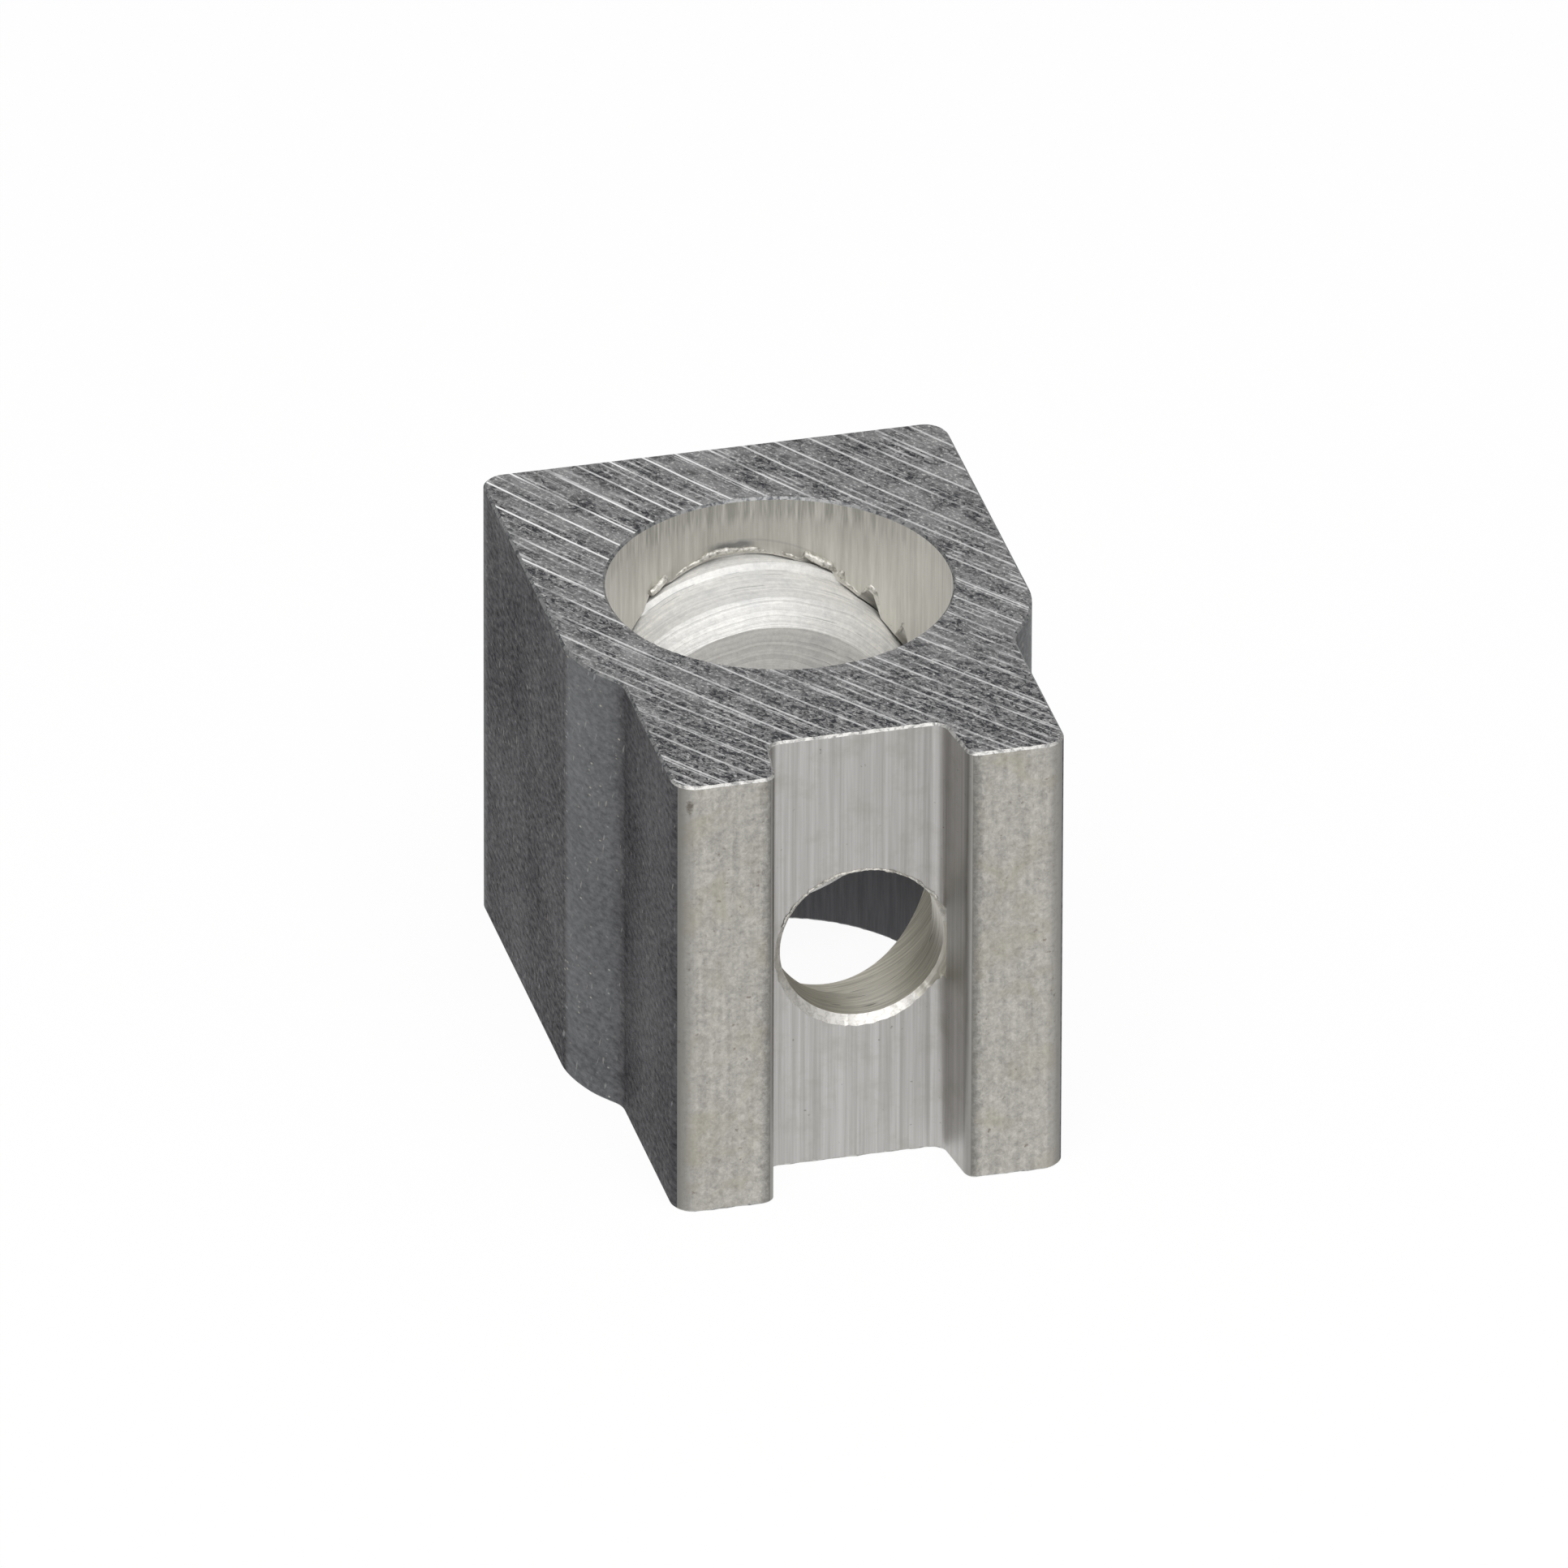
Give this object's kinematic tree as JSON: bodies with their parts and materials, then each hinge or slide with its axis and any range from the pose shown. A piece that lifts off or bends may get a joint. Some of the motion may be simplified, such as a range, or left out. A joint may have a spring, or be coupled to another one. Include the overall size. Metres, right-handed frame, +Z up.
{
  "type": "mechanical lug",
  "caption": "Extruded aluminium box lug: a wire hole clamped by a threaded set screw from behind, and a grooved front with a screw hole that seats on a terminal.",
  "frame": {"origin": "where the axis of the wire hole meets the sawn bottom face", "axes": "+Z up along the extrusion and the wire hole, -Y out of the groove towards the terminal, +Y towards the back of the set screw, and the section is the same left and right of X = 0"},
  "size_m": [0.0196, 0.0296, 0.0199],
  "materials": {
    "extruded_aluminium": "mill finish, sawn ends",
    "turned_aluminium": "bright, freshly turned"
  },
  "bodies": {
    "lug": {"lug_body": "extruded_aluminium"},
    "screw": {"set_screw": "turned_aluminium"}
  },
  "joints": [
    {"name": "set_screw_travel", "type": "slide", "parent": "lug", "child": "screw", "axis": [0, -1, 0], "range_m": [-0.00423, 0.00564]}
  ]
}
